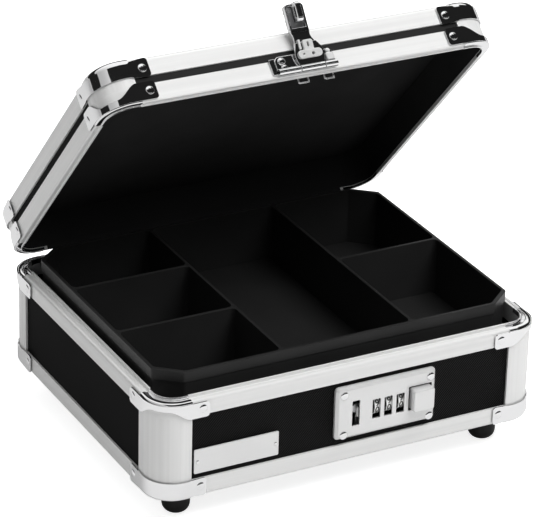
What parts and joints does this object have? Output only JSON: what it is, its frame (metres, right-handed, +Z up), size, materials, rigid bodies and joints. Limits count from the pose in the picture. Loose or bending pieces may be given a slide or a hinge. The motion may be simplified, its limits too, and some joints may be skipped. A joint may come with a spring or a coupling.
{
  "type": "cash box",
  "caption": "Aluminium-framed cash box with a hinged lid, a hasp, a combination dial lock and a lift-out compartment tray.",
  "frame": {"origin": "middle of the bottom of the whole part at rest, with the lid part open and the feet on the floor", "axes": "+Z up, -Y towards the front with the lock, +X to the right seen from the front"},
  "size_m": [0.2578, 0.2368, 0.2784],
  "materials": {
    "satin_frame": "satin, fine lengthwise lines",
    "chrome": "polished",
    "steel": "plain",
    "black_panel": "smooth satin black",
    "front_texture": "fine diagonal ribs",
    "lining": "matte",
    "tray": "fine moulded grain",
    "rubber": "matte",
    "dial": "light metallic with dark numerals"
  },
  "bodies": {
    "case": {"base_lower_frame": "satin_frame", "base_upper_frame": "satin_frame", "base_post_front_left": "satin_frame", "base_post_front_right": "satin_frame", "base_post_rear_left": "satin_frame", "base_post_rear_right": "satin_frame", "base_panel_front": "front_texture", "base_panel_rear": "black_panel", "base_panel_left": "black_panel", "base_panel_right": "black_panel", "base_floor": "lining", "lock_case": "lining", "tray_support_left": "lining", "tray_support_right": "lining", "base_lower_cap_front_left": "chrome", "base_lower_cap_front_right": "chrome", "base_lower_cap_rear_left": "chrome", "base_lower_cap_rear_right": "chrome", "base_upper_cap_front_left": "chrome", "base_upper_cap_front_right": "chrome", "base_upper_cap_rear_left": "chrome", "base_upper_cap_rear_right": "chrome", "lock_plate": "chrome", "name_plate": "chrome", "hinge_base_leaf": "steel", "hinge_pin": "steel", "dial_shaft": "steel", "foot_front_left": "rubber", "foot_front_right": "rubber", "foot_rear_left": "rubber", "foot_rear_right": "rubber"},
    "lid": {"hinge_lid_leaf": "steel", "lid_panel": "black_panel", "lid_skirt": "black_panel", "lid_rim_frame": "satin_frame", "lid_top_frame": "satin_frame", "lid_post_front_left": "satin_frame", "lid_post_front_right": "satin_frame", "lid_post_rear_left": "satin_frame", "lid_post_rear_right": "satin_frame", "lid_rim_cap_front_left": "chrome", "lid_rim_cap_front_right": "chrome", "lid_rim_cap_rear_left": "chrome", "lid_rim_cap_rear_right": "chrome", "lid_top_cap_front_left": "chrome", "lid_top_cap_front_right": "chrome", "lid_top_cap_rear_left": "chrome", "lid_top_cap_rear_right": "chrome", "hasp_base": "chrome", "hasp_pin": "chrome", "hasp_backing": "steel"},
    "hasp": {"hasp_flap": "chrome"},
    "dial_left": {"dial_1": "dial"},
    "dial_middle": {"dial_2": "dial"},
    "dial_right": {"dial_3": "dial"},
    "bolt": {"lock_bolt": "chrome"},
    "button": {"lock_button": "chrome"},
    "tray": {"tray": "tray"}
  },
  "joints": [
    {"name": "lid_hinge", "type": "hinge", "parent": "case", "child": "lid", "pos_m": [0, 0.10077, 0.08495], "axis": [-1, 0, 0], "range_deg": [-47.5, 47.5]},
    {"name": "hasp_hinge", "type": "hinge", "parent": "lid", "child": "hasp", "pos_m": [0, -0.0435, 0.24321], "axis": [1, 0, 0], "range_deg": [0, 168]},
    {"name": "lock_button", "type": "slide", "parent": "case", "child": "button", "axis": [0, 1, 0], "range_m": [0, 0.003], "stiffness_N_per_m": 400},
    {"name": "lock_bolt", "type": "slide", "parent": "case", "child": "bolt", "axis": [1, 0, 0], "range_m": [0, 0.003]},
    {"name": "dial_left_spin", "type": "hinge", "parent": "case", "child": "dial_left", "pos_m": [0.0141, -0.10528, 0.05185], "axis": [1, 0, 0], "continuous": true},
    {"name": "dial_middle_spin", "type": "hinge", "parent": "case", "child": "dial_middle", "pos_m": [0.02205, -0.10528, 0.05185], "axis": [1, 0, 0], "continuous": true},
    {"name": "dial_right_spin", "type": "hinge", "parent": "case", "child": "dial_right", "pos_m": [0.03015, -0.10528, 0.05185], "axis": [1, 0, 0], "continuous": true},
    {"name": "tray_lift", "type": "slide", "parent": "case", "child": "tray", "axis": [0, 0, 1], "range_m": [0, 0.007]}
  ],
  "couplings": [
    {"joint": "lock_bolt", "follows": "lock_button", "ratio": 1}
  ]
}
